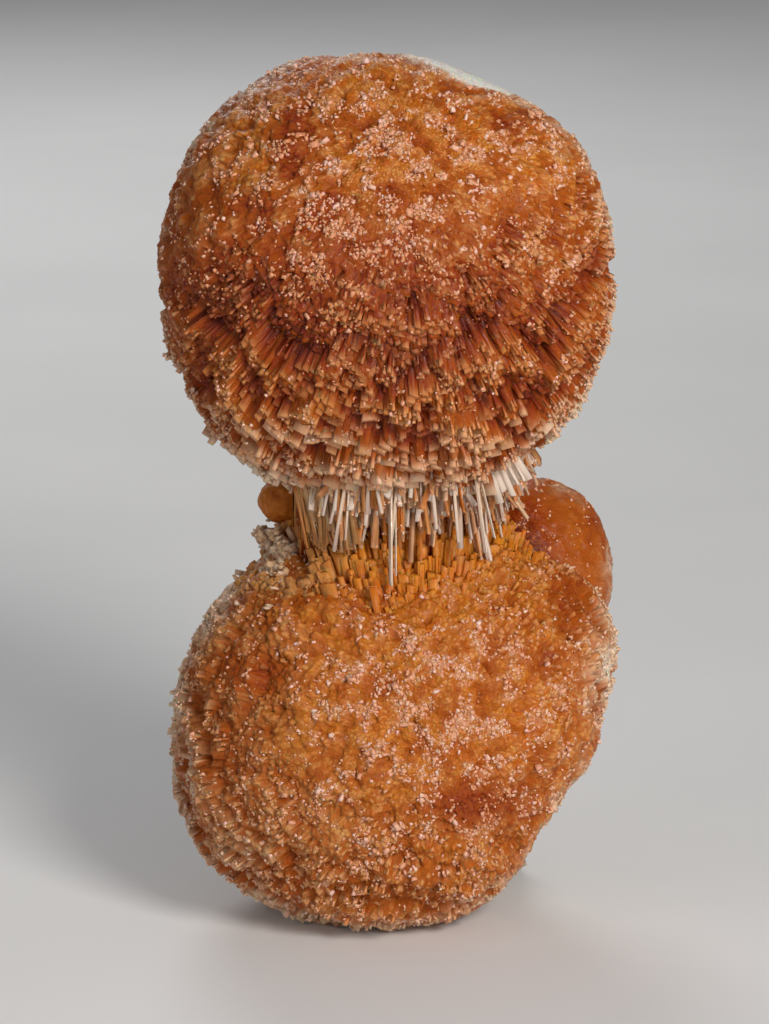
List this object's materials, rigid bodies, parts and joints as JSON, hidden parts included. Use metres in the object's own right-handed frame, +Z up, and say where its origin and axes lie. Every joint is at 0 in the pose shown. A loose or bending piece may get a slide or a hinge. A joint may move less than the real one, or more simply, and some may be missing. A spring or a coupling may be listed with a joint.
{
  "type": "thomsonite specimen",
  "caption": "Thomsonite mineral specimen: radiating peach-orange crystal balls grown together one above the other at a pinched neck, with brown rock under the back.",
  "frame": {"origin": "on the surface the specimen rests on, under the middle of its bounding box", "axes": "+Z up through both balls, front towards -Y, +X to the right as seen from the front"},
  "size_m": [0.0402, 0.0342, 0.0747],
  "materials": {
    "thomsonite": "translucent peach-orange crystal with vitreous tips and a sugary crust, cream at the rims",
    "rock": "dull, crumbly brown rock"
  },
  "bodies": {
    "root": {"thomsonite": "thomsonite", "matrix": "rock"}
  },
  "joints": []
}
